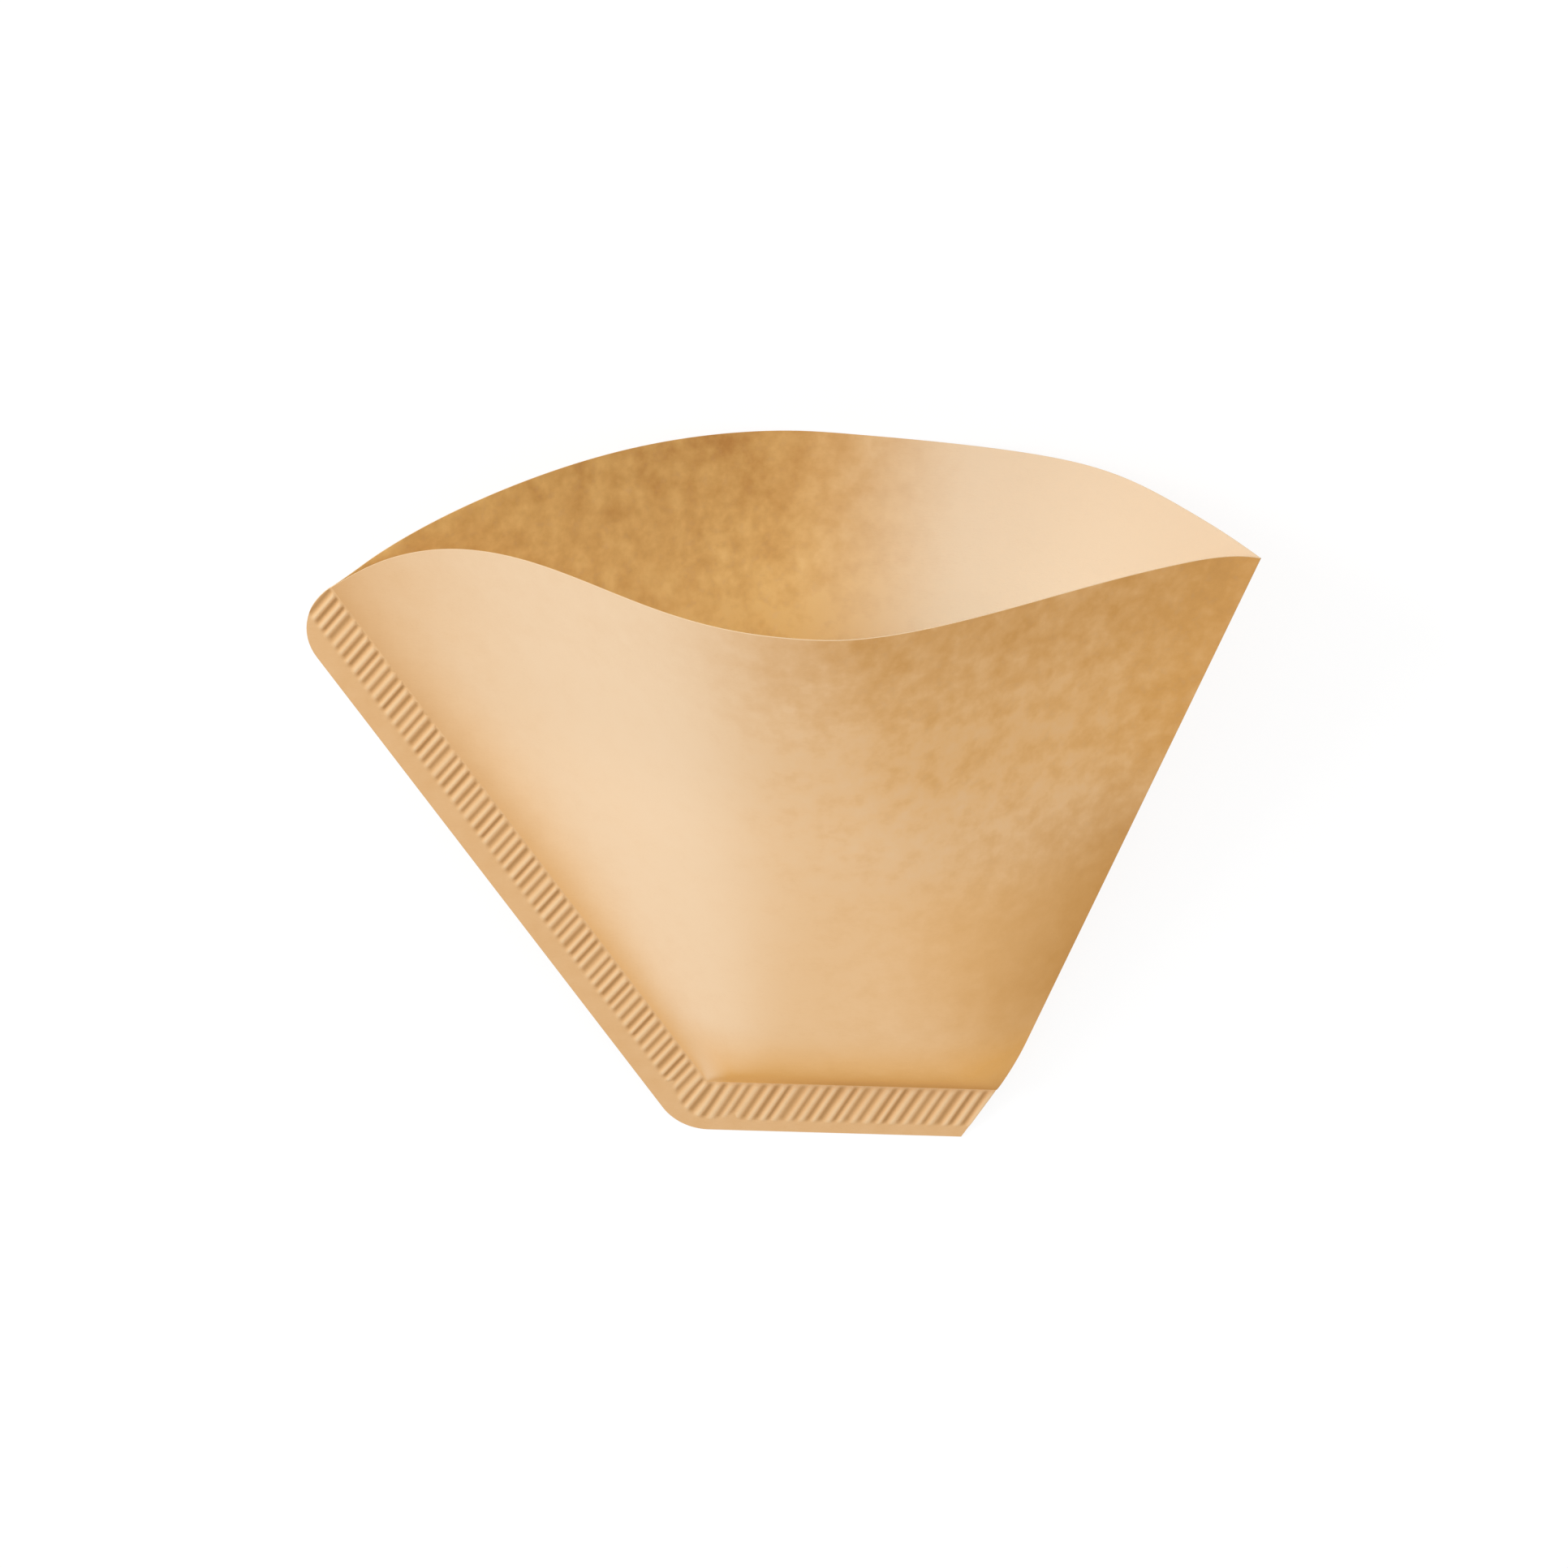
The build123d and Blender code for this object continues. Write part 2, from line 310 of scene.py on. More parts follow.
def readTable(table, share, height):
    # straight-line reading between the rows and columns of a softened wall
    heights, shares, depth = table
    short = 1.001  # so that the last row and column still have a next one
    row = np.clip(np.interp(height, heights, np.arange(len(heights))), 0, len(heights) - short)
    column = np.clip(share * (len(shares) - 1), 0, len(shares) - short)
    r, c = row.astype(int), column.astype(int)
    u, v = row - r, column - c
    low = depth[r, c] * (1 - v) + depth[r, c + 1] * v
    high = depth[r + 1, c] * (1 - v) + depth[r + 1, c + 1] * v
    return low * (1 - u) + high * u


def softSection(wall, table, share, height):
    # point of a softened wall, with a faint unevenness of three crossing waves
    left = sideX(height, sheet["bandWidth"])
    x = left + share * (foldX(height) - left)
    z = readTable(table, share, height)
    ripple = sum(np.sin(x / across + height / up + start) for across, up, start in sheet["ripples"])
    rippled = smooth(sheet["paper"], sheet["paper"] + sheet["rippleStart"], z)
    return x, wall["face"] * (z + sheet["rippleHeight"] * ripple * rippled)


def gridNormals(points):
    # cross product of the two grid directions
    across = np.gradient(points, axis=1)
    up = np.gradient(points, axis=0)
    normal = np.cross(across, up)
    return normal / np.linalg.norm(normal, axis=2, keepdims=True)


def insidePaint(points):
    # painted light and shade inside: golden painted light through the paper on the crimped half and pale
    # painted light on the other, by smooth steps across the wall;
    # painted shade darker to the rim by a power of the height, painted light away from it, and one plain
    # tone deep inside
    x, height = points[..., 0], points[..., 1]
    left = sideX(height, sheet["bandWidth"])
    across = (x - left) / (foldX(height) - left)
    golden = 1 - smooth(*tone["insideShare"], across)
    low, high = tone["insidePart"]
    toRim = np.clip((height - low) / (high - low), 0, 1) ** tone["insideEase"]
    deep = 1 - smooth(*tone["insideDeep"], height)
    pale = between(tone["insideWarmth"], toRim)
    warmth = between((pale, between(tone["goldenWarmth"], toRim)), golden)
    paintedGlowGold = between(tone["insideGold"], toRim) * golden
    paintedShadeAndFibreDim = between(tone["insideDim"], smooth(*tone["insideDimShare"], across))
    return {
        "warmth": between((warmth, tone["deepWarmth"]), deep),
        "paintedGlowGold": between((paintedGlowGold, tone["deepGold"]), deep),
        "paintedShadeAndFibreDim": paintedShadeAndFibreDim * golden * toRim,
        "paintedThroughLightClouds": tone["insideCloudy"] * golden * (1 - tone["deepCloudy"] * deep),
        "paintedLight": tone["insideBright"] * (1 - toRim),
    }


def outsidePaint(points, turn):
    # painted light and shade: turn is the share of a normal that points to the fold's side, away from the
    # light: there light that comes through the paper is painted, warmer and with clouds;
    # painted shade darkens it by smooth steps to the rim and by falling exponentials to the fold and the
    # seams, and a paler belt and a brighter middle are painted light
    x, height = points[..., 0], points[..., 1]
    left, fold = sideX(height, sheet["bandWidth"]), foldX(height)
    away = smooth(*tone["turn"], turn)
    lowPart = 1 - smooth(*tone["lowPart"], height)
    lowFold = 1 - smooth(*tone["lowFoldPart"], height)
    toRim = smooth(*tone["rimPart"], height)
    toTop = smooth(*tone["sidePart"], height)
    foldReach = between(tone["foldReach"], 1 - lowPart)
    byFold = np.exp(-np.maximum(fold - x, 0) / foldReach) * smooth(*tone["foldFoot"], height)
    fromSide = np.maximum(x - left, 0) * np.cos(crimpSlope)
    clear = smooth(0, tone["sideClear"], fromSide)
    bySide = np.exp(-fromSide / tone["sideReach"])
    bySeam = (1 - smooth(*tone["seamPart"], height)) * clear
    seamLine = np.exp(-(height - sheet["seamTop"]) / tone["seamReach"])
    seamGrows = smooth(0, tone["seamRun"], fromSide)
    beltHeight, beltHalf, beltShare = tone["belt"]
    belt = beltShare * np.exp(-((height - beltHeight) / beltHalf) ** 2) * smooth(*tone["beltStart"], x)
    bellyStart, bellyEnd = tone["bellyPart"]
    belly = tone["belly"] * smooth(*bellyStart, height) * (1 - smooth(*bellyEnd, height))
    seamWide, seamNear = tone["seamWarmth"]
    warmth = (tone["outsideWarmth"] + tone["rimWarmth"] * toRim - belt) * away
    warmth = warmth + tone["foldWarmth"] * byFold + (seamWide + seamNear * seamLine) * bySeam
    paintedShadeAndFibreDim = (tone["foldDim"] + tone["lowFoldDim"] * lowFold) * byFold + between(tone["rimDim"], away) * toRim
    paintedShadeAndFibreDim = paintedShadeAndFibreDim + tone["seamDim"] * seamLine * seamGrows - tone["beltDim"] * belt
    paintedThroughLightClouds = tone["outsideCloudy"] * away * (1 - tone["lowCloudy"] * lowPart)
    return {
        "warmth": warmth + between(tone["sideWarmth"], toTop) * bySide,
        "paintedShadeAndFibreDim": paintedShadeAndFibreDim + between(tone["sideDim"], toTop) * bySide,
        "paintedLight": belly * smooth(0, tone["bellyReach"], fold - x) * clear,
        "paintedThroughLightClouds": paintedThroughLightClouds * smooth(*tone["cloudyShare"], (x - left) / (fold - left)),
    }


def wallSheets(wall):
    # outer and inner face of a wall, half a paper off its middle surface along the normals: rows from
    # the bottom seam to the rim, columns from seam to fold
    table = softWall(wall)
    even = np.linspace(0, 1, sheet["columns"])
    column = between((even, (1 - np.cos(np.pi * even)) / 2), sheet["columnEase"])
    top = np.full_like(column, sheet["mouthHeight"])
    for step in range(sheet["rimRounds"]):
        top = (top + rimHeight(softSection(wall, table, column, top)[0])) / 2
    rise = np.linspace(0, 1, sheet["rows"])[:, None] ** sheet["rowEase"]
    height = between((sheet["seamTop"], top), rise)
    x, z = softSection(wall, table, column[None, :] + 0 * height, height)
    middle = np.stack([x, height, z], axis=2)
    normal = gridNormals(middle) * wall["face"]
    outside, inside = outsidePaint(middle, normal[..., 0]), insidePaint(middle)
    normal[:, 0] = normal[0] = (0, 0, wall["face"])  # the layers lie flat on each other in the seam
    half = sheet["paper"] / 2
    return middle + half * normal, middle - half * normal, outside, inside


def arc(centre, radius, start, end, count):
    # points of a circle between two angles in degrees
    angle = np.radians(np.linspace(start, end, count))
    return centre + radius * np.stack([np.cos(angle), np.sin(angle)], axis=1)


def lengthAlong(line):
    # sum of the steps up to each point of a broken line
    return np.concatenate([[0], np.cumsum(np.linalg.norm(np.diff(line, axis=0), axis=1))])


def runAlong(line, count):
    # evenly spaced points along a broken line
    reach = lengthAlong(line)
    at = np.linspace(0, reach[-1], count)
    return np.stack([np.interp(at, reach, line[:, axis]) for axis in (0, 1)], axis=1)


def seamStrip():
    # the seam as a strip carried along the cut edge: down the crimped side, round the bottom corner
    # and along the bottom; each row runs from the cut edge to just before the line where the walls begin
    up = 90 + sheet["crimpAngle"]
    upDir = np.array([np.cos(np.radians(up)), np.sin(np.radians(up))])
    inDir = np.array([upDir[1], -upDir[0]])
    bottomCorner = np.array([-halfBottom, 0.0])
    crimpCorner = np.array([sideX(sheet["crimpCornerHeight"], 0), sheet["crimpCornerHeight"]])
    rimDir = (rim[1] - rim[0]) / np.linalg.norm(rim[1] - rim[0])
    inner = np.array([sideX(sheet["seamTop"], sheet["bandWidth"]), sheet["seamTop"]])
    # where the rim crosses the inner line of the seam
    crossing = crimpCorner + rimDir * sheet["bandWidth"] / np.dot(rimDir, inDir)
    # rounded corner at the top of the crimped side
    turnTop = np.degrees(np.arctan2(rimDir[1], rimDir[0]))
    radius = sheet["crimpCornerRadius"]
    tangent = radius / np.tan(np.arccos(np.dot(-upDir, rimDir)) / 2)
    topEnd = crimpCorner - upDir * tangent
    topCentre = topEnd + inDir * radius
    topPoints, lowPoints = sheet["cornerPoints"]
    topArc = arc(topCentre, radius, turnTop + 90, up + 90, topPoints)
    # rounded corner between the two crimped edges
    radius = sheet["bottomCornerRadius"]
    tangent = radius * np.tan(np.radians(180 - up) / 2)
    lowStart = bottomCorner + upDir * tangent
    lowEnd = bottomCorner + np.array([tangent, 0])
    lowCentre = lowEnd + np.array([0, radius])
    lowArc = arc(lowCentre, radius, up + 90, 270, lowPoints)
    foot = topEnd + inDir * sheet["bandWidth"]
    outerEnd = np.array([halfBottom, 0.0])
    innerEnd = np.array([foldX(sheet["seamTop"]), sheet["seamTop"]])
    stretches = (
        (np.vstack([crossing, topArc]), np.array([crossing, foot])),
        (np.array([topEnd, lowStart]), np.array([foot, inner])),
        (lowArc, np.array([inner, inner])),
        (np.array([lowEnd, outerEnd]), np.array([inner, innerEnd])),
    )
    outerRows, innerRows = [], []
    for outerLine, innerLine in stretches:
        count = int(np.ceil(lengthAlong(outerLine)[-1] / crimp["rowStep"])) + 1
        outerRows.append(runAlong(outerLine, count)[:-1])
        innerRows.append(np.linspace(*innerLine, count)[:-1])
    outer, innerEdge = np.vstack([*outerRows, outerEnd]), np.vstack([*innerRows, innerEnd])
    along = lengthAlong(innerEdge)
    share = np.linspace(0, 1, crimp["columns"] + 1)[None, :-1, None]
    flat = (outer[:, None] * (1 - share) + innerEdge[:, None] * share)[1:]
    wave, ridged = ridgeWave(flat, inner)
    return flat, wave, ridged, along[1:]


def ridgeWave(flat, inner):
    # cosine of the distance across the ridges in pitches, from the inner corner, turned smoothly from
    # the side's direction to the bottom's around that corner; it fades out at the ends of the ridges
    sideRun = np.radians(sheet["crimpAngle"] + crimp["sideLean"])
    bottomRun = np.radians(90 - crimp["bottomLean"])
    meanRun = (sideRun + bottomRun) / 2
    awayX, awayY = flat[..., 0] - inner[0], flat[..., 1] - inner[1]
    sideAcross, bottomAcross, meanAcross = (
        awayX * np.sin(run) - awayY * np.cos(run) for run in (sideRun, bottomRun, meanRun))
    bearing = np.arctan2(meanAcross, -(awayX * np.cos(meanRun) + awayY * np.sin(meanRun)))
    turned = smooth(-np.radians(crimp["turn"]), np.radians(crimp["turn"]), bearing)
    sidePhase = sideAcross / (crimp["sidePitch"] * np.cos(np.radians(crimp["sideLean"])))
    bottomPhase = bottomAcross / (crimp["bottomPitch"] * np.cos(np.radians(crimp["bottomLean"])))
    phase = between((sidePhase, bottomPhase), turned)
    drift = sum(share * np.sin(phase * pace + start) for share, pace, start in crimp["drift"])
    share, pace, start = crimp["uneven"]
    wave = np.cos(2 * np.pi * (phase + drift)) * (1 - share + share * np.sin(phase * pace + start))
    sideInset = (flat[..., 0] - sideX(flat[..., 1], 0)) * np.cos(crimpSlope)
    radius = sheet["bottomCornerRadius"]
    centre = np.array([sideX(radius, radius), radius])
    reach = np.linalg.norm(flat - centre, axis=2)
    inset = np.minimum(sideInset, flat[..., 1])
    inCorner = (sideInset < radius) & (flat[..., 1] < radius)
    inset = np.where(inCorner, np.minimum(inset, radius - reach), inset)
    margin = between((crimp["sideMargin"], crimp["bottomMargin"]), turned)
    inward = np.maximum(sheet["bandWidth"] - sideInset, sheet["seamTop"] - flat[..., 1])
    ridged = smooth(margin - crimp["fadeOut"] / 2, margin + crimp["fadeOut"] / 2, inset)
    ridged = ridged * smooth(0, crimp["fadeOut"], inward)
    return crimp["ridgeHeight"] * wave * ridged, ridged * wave


meshPoints, meshFaces = [], []
# painted light and shade on the points: a tint for painted light through the paper and for the strongest
# light, a painted glow inside, painted shade, painted brightening, and painted clouds of light through the
# paper; also the crimp's crest wave and the cut edges
meshPaint = {name: [] for name in ("warmth", "paintedGlowGold", "paintedShadeAndFibreDim", "paintedLight", "paintedThroughLightClouds", "crest", "cutEdge")}


def addPoints(points, **paint):
    # a line or grid of points with their paint values; gives back their numbers in the same layout
    layout = points.shape[:-1]
    start = sum(len(block) for block in meshPoints)
    meshPoints.append(points.reshape(-1, 3))
    for name, blocks in meshPaint.items():
        blocks.append(np.broadcast_to(paint.get(name, 0.0), layout).reshape(-1))
    return start + np.arange(np.prod(layout)).reshape(layout)


def addGrid(points, flip=False, **paint):
    # quads between the rows and columns of a grid of points
    index = addPoints(points, **paint)
    corners = index[:-1, :-1], index[:-1, 1:], index[1:, 1:], index[1:, :-1]
    quads = np.stack(corners, axis=-1).reshape(-1, 4)
    meshFaces.append(quads[:, ::-1] if flip else quads)
    return index


def addZip(first, firstAlong, second, secondAlong, flip=False):
    # triangles that close the gap between two lines of points as a zip does: each step of one line is
    # joined to the point that the other line has reached by the middle of that step
    firstMiddle = (firstAlong[:-1] + firstAlong[1:]) / 2
    secondMiddle = (secondAlong[:-1] + secondAlong[1:]) / 2
    toSecond = second[np.searchsorted(secondMiddle, firstMiddle)]
    toFirst = first[np.searchsorted(firstMiddle, secondMiddle, side="right")]
    triangles = np.vstack([
        np.stack([first[:-1], first[1:], toSecond], axis=1),
        np.stack([toFirst, second[1:], second[:-1]], axis=1),
    ])
    meshFaces.append(triangles[:, ::-1] if flip else triangles)


def addBand(flat, depth, along, wall, flip, crest):
    # one face of the crimped seam, zipped to the line where its wall begins; gives back the lines of
    # points along its cut edge and across its folded end
    band = np.concatenate([flat, depth[..., None]], axis=2)
    # the band takes the painted shade of the crimped band, and its crest wave for the painted highlight on
    # crests and the painted shade in grooves
    index = addGrid(band, flip=flip, crest=crest, **tone["seamBand"])
    wallLine = np.concatenate([wall[::-1, 0], wall[0, 1:]])
    edge = np.concatenate([index[0, :-1], index[:, -1]])
    edgeAlong = np.concatenate([np.zeros(index.shape[1] - 1), along])
    addZip(edge, edgeAlong, addPoints(wallLine, **tone["seamBand"]), lengthAlong(wallLine), flip=not flip)
    cutLine = np.concatenate([wall[-1:, 0], band[:, 0]])
    endRow = np.concatenate([band[-1], wallLine[-1:]])
    return cutLine, endRow


def placed(name, data):
    # a new object in the scene
    holder = bpy.data.objects.new(name, data)
    bpy.context.scene.collection.objects.link(holder)
    return holder


def buildSheet():
    # the closed surface of the sheet: two faces of each wall, cut edges, fold and crimped seam
    frontOuter, frontInner, frontOutside, frontInside = wallSheets(frontWall)
    backOuter, backInner, backOutside, backInside = wallSheets(backWall)
    addGrid(frontOuter, **frontOutside)
    addGrid(frontInner, flip=True, **frontInside)
    addGrid(backOuter, flip=True, **backOutside)
    addGrid(backInner, **backInside)
    # cut edges of the rim, warmer and paler, partly by cut fibres and partly by a painted highlight
    addGrid(np.stack([frontOuter[-1], frontInner[-1]]), **tone["rimCut"])
    addGrid(np.stack([backInner[-1], backOuter[-1]]), **tone["rimCut"])
    # rounded fold: a parabola from the front layer over the edge to the back layer, with the front's painted
    # light and shade, and its inside
    around = np.linspace(0, 1, sheet["foldColumns"])
    t = around[None, :, None]
    frontEdge, backEdge = frontOuter[:, -1:], backOuter[:, -1:]
    bulge = (frontEdge + backEdge) / 2 + np.array([sheet["foldBulge"] * sheet["paper"], 0, 0])
    fold = (1 - t) ** 2 * frontEdge + 2 * t * (1 - t) * bulge + t**2 * backEdge
    foldIndex = addGrid(fold, **{name: value[:, -1:] for name, value in frontOutside.items()})
    # painted shade tint along the inside of the fold, where the two layers meet
    backLine = addPoints(backInner[:, -1], warmth=1.0)
    frontLine = addPoints(frontInner[1:, -1], warmth=1.0)
    row = np.arange(sheet["rows"])
    addZip(backLine, row, frontLine, row[1:], flip=True)
    # the fold's two ends, at the bottom seam and at the rim
    addZip(foldIndex[0], around, addPoints(frontInner[:1, -1]), np.zeros(1), flip=True)
    rimEnd = addPoints(np.stack([frontInner[-1, -1], backInner[-1, -1]]), **tone["rimCut"])
    addZip(foldIndex[-1], around, rimEnd, np.array([0, 1]))
    # crimped seam: both layers pressed together, with its cut edge and its folded end
    flat, wave, crest, along = seamStrip()
    frontCut, frontEnd = addBand(flat, wave + sheet["paper"], along, frontOuter, True, crest)
    backCut, backEnd = addBand(flat, wave - sheet["paper"], along, backOuter, False, -crest)
    cut = np.stack([backCut, (backCut + frontCut) / 2, frontCut], axis=1)
    # the seam's cut edge paler, partly by cut fibres and partly by a painted highlight, with the band's
    # painted shade
    addGrid(cut, flip=True, cutEdge=1.0, **tone["seamBand"])
    # the seam's folded end with the band's painted shade
    end = np.stack([frontEnd, (frontEnd + backEnd) / 2, backEnd])
    addGrid(end, flip=True, **tone["seamBand"])
    # laid down on the bottom edge and the back rim, in metres, and moved over the frame's own middle
    x, y, z = np.vstack(meshPoints).T
    cos, sin = np.cos(np.radians(sheet["lean"])), np.sin(np.radians(sheet["lean"]))
    laid = np.stack([x, y * cos - z * sin, y * sin + z * cos], axis=1) / 1000
    low, high = laid.min(axis=0), laid.max(axis=0)
    cadLow, cadHigh = (np.array(corner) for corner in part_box("filter_paper"))
    laid += (cadLow + cadHigh) / 2 - (low + high) / 2
    laid[:, 2] += cadLow[2] - laid[:, 2].min()
    mesh = bpy.data.meshes.new("foldedSheet")
    mesh.from_pydata(laid, [], sum((block.tolist() for block in meshFaces), []))
    for name, blocks in meshPaint.items():
        mesh.attributes.new(name, "FLOAT", "POINT").data.foreach_set("value", np.concatenate(blocks))
    mesh.polygons.foreach_set("use_smooth", np.ones(len(mesh.polygons), dtype=bool))
    mesh.update()
    return placed("foldedSheet", mesh)


filterSheet = buildSheet()
print("sheet built,", len(filterSheet.data.polygons), "faces")


class Shade:
    # a node socket that takes part in Python arithmetic
    def __init__(self, board, socket):
        self.board, self.socket = board, socket

    def join(self, operation, first, second):
        return self.board.node("ShaderNodeMath", {"operation": operation}, {0: first, 1: second})

    def __add__(self, other):
        return self.join("ADD", self, other)

    def __radd__(self, other):
        return self.join("ADD", other, self)

    def __sub__(self, other):
        return self.join("SUBTRACT", self, other)

    def __rsub__(self, other):
        return self.join("SUBTRACT", other, self)

    def __mul__(self, other):
        return self.join("MULTIPLY", self, other)

    def __rmul__(self, other):
        return self.join("MULTIPLY", other, self)


class Board:
    # the node tree of one material, or of the world
    def __init__(self, name, tree=None):
        if tree is None:
            self.material = bpy.data.materials.new(name)
            self.material.use_nodes = True
            tree = self.material.node_tree
        self.tree = tree
        self.tree.nodes.clear()

    def node(self, kind, settings=None, inputs=None, output=0):
        # any node: its type, its settings, and the values or links of its sockets
        made = self.tree.nodes.new(kind)
        for name, value in (settings or {}).items():
            setattr(made, name, value)
        for name, value in (inputs or {}).items():
            if isinstance(value, Shade):
                self.tree.links.new(value.socket, made.inputs[name])
            else:
                made.inputs[name].default_value = value
        return Shade(self, made.outputs[output]) if made.outputs else made

    def seen(self):
        # 1 for what the camera sees, straight, mirrored or through something clear
        rays = ("Is Camera Ray", "Is Glossy Ray", "Is Transmission Ray")
        return sum(self.node("ShaderNodeLightPath", output=name) for name in rays)

    def mix(self, factor, first, second, blend="MIX"):
        # colour mix; sockets 6 and 7 are the two colours and output 2 the mixed one
        settings = {"data_type": "RGBA", "blend_type": blend, "clamp_factor": True}
        return self.node("ShaderNodeMix", settings, {0: factor, 6: first, 7: second}, 2)

    def spread(self, value, low, high):
        # 0 at low, 1 at high, straight between and clamped beyond
        sockets = {"Value": value, "From Min": low, "From Max": high}
        return self.node("ShaderNodeMapRange", {"clamp": True}, sockets)


paperLook = {
    "cream": (0.98, 0.88, 0.70, 1),      # seen by the strongest light
    "pale": (0.87, 0.65, 0.43, 1),       # seen by light on its surface
    "deep": (0.86, 0.46, 0.14, 1),       # seen by light that comes through
    "paintedGlowGold": (1.0, 0.70, 0.24, 1),        # the same, inside the pouch
    # painted shade colour, also reached by fibres and formation
    "paintedShadeColour": (0.50, 0.235, 0.065, 1),
    "double": (2, 2, 2, 1),              # what the painted light attribute multiplies by
    # painted highlight on the crimp's crests and painted shade in its grooves
    "crest": (0.94, 0.70, 0.43, 1),
    "grooveShade": (0.42, 0.21, 0.06, 1),
    # cut edges, paler partly by cut fibres and partly by a painted highlight
    "cut": (0.90, 0.70, 0.46, 1),
    "cloudScale": 240.0,                 # per metre, clouds of about 4 mm
    "flockScale": 640.0,
    "grainScale": 1900.0,
    "fibreStretch": (330.0, 2600.0, 2600.0),
    "fibreTurns": ((0.3, 0.2, 0.5), (-0.2, 0.4, 2.3)),
    "fibreWidth": 0.035,                 # of the noise's span
    "formation": (0.66, 0.28, 0.06),     # shares of clouds, flocks and grain
    "formationSpan": (0.32, 0.68),
    "swing": (0.12, 0.75),               # of the formation: everywhere, and by the painted light through the paper
    "warmthSwing": 0.28,
    "dimSwing": 0.4,
    "fleck": 0.12,                       # pale flakes
    "fleckSpan": (0.57, 0.72),
    "fibreDim": (0.03, 0.02),            # of a fibre, and less of the paper beside it
    "crestSpan": (0.0, 1.0),
    "crestMix": 0.55,
    "grooveShadeSpan": (0.1, -0.9),
    "grooveShadeMix": 0.62,
    "cutMix": 0.6,
    "relief": (0.5, 0.3, 0.2),           # shares of grain, flocks and fibres in the bump
    "bumpStrength": 0.22,
    "bumpDistance": 0.0001,
    "rough": (0.82, 0.14),               # least, and more by the grain
    "roughSpan": (0.2, 0.8),
    "specular": 0.2,
}


def unbleachedPaper():
    # pulp with cloudy formation, flocks, fine grain and single fibres, mixed with the painted light and
    # shade of the sheet's attributes;
    # the clouds show most where light coming through the paper is painted
    look = paperLook
    board = Board("unbleachedPaper")
    place = board.node("ShaderNodeTexCoord", output=3)
    noise = {"Vector": place, "Detail": 2.0, "Roughness": 0.5}
    cloud, flock, grain = (board.node("ShaderNodeTexNoise", {}, {**noise, "Scale": look[name]})
                           for name in ("cloudScale", "flockScale", "grainScale"))
    fibres = 0
    for turn in look["fibreTurns"]:
        stretch = {"Vector": place, "Rotation": turn, "Scale": look["fibreStretch"]}
        lie = board.node("ShaderNodeMapping", {}, stretch)
        strands = board.node("ShaderNodeTexNoise", {}, {"Vector": lie, "Scale": 1.0, "Detail": 1.0})
        off = board.node("ShaderNodeMath", {"operation": "ABSOLUTE"}, {0: strands - 0.5})
        fibres = fibres + board.spread(off, look["fibreWidth"], 0.0)
    paint = {name: board.node("ShaderNodeAttribute", {"attribute_name": name}, output=2)
             for name in meshPaint}
    clouds, flocks, grains = look["formation"]
    formation = board.spread(cloud * clouds + flock * flocks + grain * grains, *look["formationSpan"]) - 0.5
    least, more = look["swing"]
    swing = paint["paintedThroughLightClouds"] * more + least
    # the pale pulp goes to deep where light through the paper is painted, to cream where the strongest light
    # is painted, to gold for the painted glow inside, and to the painted shade colour where painted shade,
    # fibres and formation darken it
    pulp = board.mix(paint["warmth"] + formation * swing * look["warmthSwing"], look["pale"], look["deep"])
    pulp = board.mix(board.spread(paint["warmth"], 0.0, -1.0), pulp, look["cream"])
    pulp = board.mix(paint["paintedGlowGold"], pulp, look["paintedGlowGold"])
    pulp = board.mix(board.spread(flock, *look["fleckSpan"]) * swing * look["fleck"], pulp, look["pale"])
    fibreDim, besideDim = look["fibreDim"]
    paintedShadeAndFibreDim = paint["paintedShadeAndFibreDim"] + formation * swing * look["dimSwing"] + fibres * fibreDim - besideDim
    pulp = board.mix(paintedShadeAndFibreDim, pulp, look["paintedShadeColour"])
    # painted light brightens the pulp up to twice
    pulp = board.mix(paint["paintedLight"], pulp, look["double"], "MULTIPLY")
    # painted highlight on the crimp's crests and painted shade in its grooves
    for part in ("crest", "grooveShade"):
        share = board.spread(paint["crest"], *look[part + "Span"]) * look[part + "Mix"]
        pulp = board.mix(share, pulp, look[part])
    # cut edges paler, partly by cut fibres and partly by a painted highlight
    pulp = board.mix(paint["cutEdge"] * look["cutMix"], pulp, look["cut"])
    grains, flocks, strands = look["relief"]
    bump = board.node("ShaderNodeBump", {}, {
        "Strength": look["bumpStrength"], "Distance": look["bumpDistance"],
        "Height": grain * grains + flock * flocks + fibres * strands})
    least, more = look["rough"]
    rough = board.spread(grain, *look["roughSpan"]) * more + least
    surface = board.node("ShaderNodeBsdfPrincipled", {}, {
        "Base Color": pulp, "Roughness": rough, "Normal": bump, "Specular IOR Level": look["specular"]})
    board.node("ShaderNodeOutputMaterial", {}, {"Surface": surface})
    return board.material


filterSheet.data.materials.append(unbleachedPaper())
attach(filterSheet, "root")
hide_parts("filter_paper")
print("paper dressed")

studio = {
    "floorSize": 3.0,
    "floorColour": (0.86, 0.86, 0.86, 1),
    "floorWhite": 0.78,       # share of plain white that the camera sees in the floor
    "floorGlow": 1.085,       # makes that share and the lit floor white together
    "world": 0.80,
    "key": {"from": (-0.814, 0.327, 0.663), "aim": (0, 0, 0.03), "size": 0.45, "power": 3.9},
    "white": (1, 1, 1, 1),
}


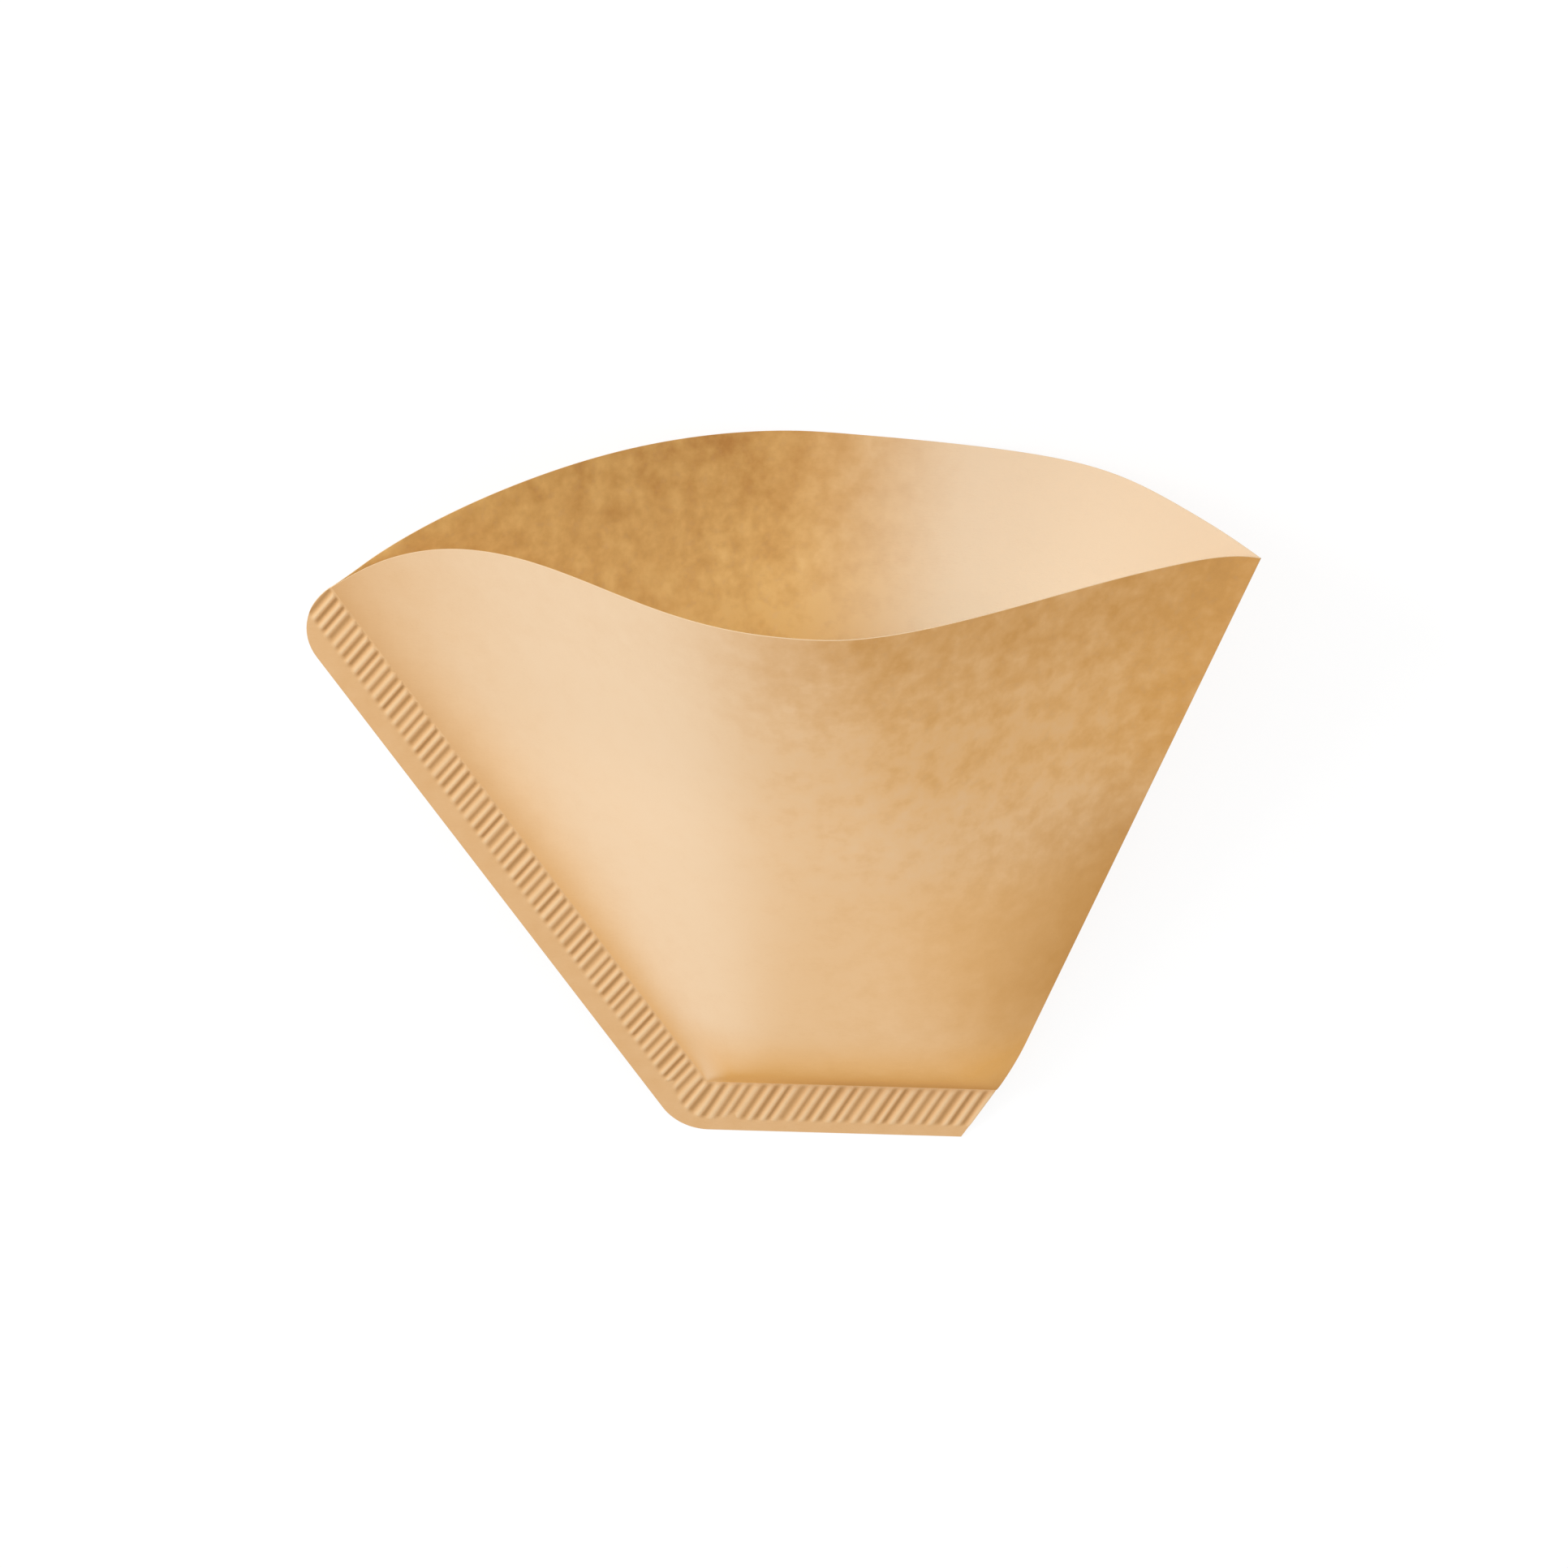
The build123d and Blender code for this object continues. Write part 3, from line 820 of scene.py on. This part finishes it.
def buildStudio():
    # pale floor, white surroundings and one soft key light on the crimped side
    side = studio["floorSize"] / 2
    corners = [(-side, -side, 0), (side, -side, 0), (side, side, 0), (-side, side, 0)]
    mesh = bpy.data.meshes.new("floor")
    mesh.from_pydata(corners, [], [(0, 1, 2, 3)])
    floor = placed("floor", mesh)
    board = Board("paleFloor")
    matte = board.node("ShaderNodeBsdfDiffuse", {}, {"Color": studio["floorColour"]})
    glow = board.node("ShaderNodeEmission", {}, {"Color": studio["white"], "Strength": studio["floorGlow"]})
    both = board.node("ShaderNodeMixShader", {}, {0: board.seen() * studio["floorWhite"], 1: matte, 2: glow})
    board.node("ShaderNodeOutputMaterial", {}, {"Surface": both})
    mesh.materials.append(board.material)
    world = bpy.data.worlds.new("studio")
    bpy.context.scene.world = world
    world.use_nodes = True
    sky = Board("sky", world.node_tree)
    lit, plain = (sky.node("ShaderNodeBackground", {}, {"Color": studio["white"], "Strength": strength})
                  for strength in (studio["world"], 1.0))
    both = sky.node("ShaderNodeMixShader", {}, {0: sky.seen(), 1: lit, 2: plain})
    sky.node("ShaderNodeOutputWorld", {}, {"Surface": both})
    key = studio["key"]
    lamp = bpy.data.lights.new("key", "AREA")
    lamp.shape = "DISK"
    lamp.size = key["size"]
    lamp.energy = key["power"]
    holder = placed("key", lamp)
    holder.location = key["from"]
    toAim = Vector(key["aim"]) - Vector(key["from"])
    holder.rotation_euler = toAim.to_track_quat("-Z", "Y").to_euler()


buildStudio()

view = {
    "place": (-0.010576, 0.162954, 0.873454),
    "right": (0.999458, 0.031842, 0.008297),
    "up": (-0.029779, 0.982557, -0.183563),
    "lens": 116.634,
    "sensor": 36,
}


def buildCamera():
    # stands over the mouth end and looks down, with the mouth at the top of the picture
    right, up = Vector(view["right"]), Vector(view["up"])
    turn = Matrix((right, up, right.cross(up))).transposed()
    camera = bpy.data.cameras.new("camera")
    camera.lens = view["lens"]
    camera.sensor_width = view["sensor"]
    holder = placed("camera", camera)
    holder.matrix_world = Matrix.Translation(view["place"]) @ turn.to_4x4()
    bpy.context.scene.camera = holder


buildCamera()
bpy.context.scene.view_settings.view_transform = "Standard"
print("studio and camera placed")
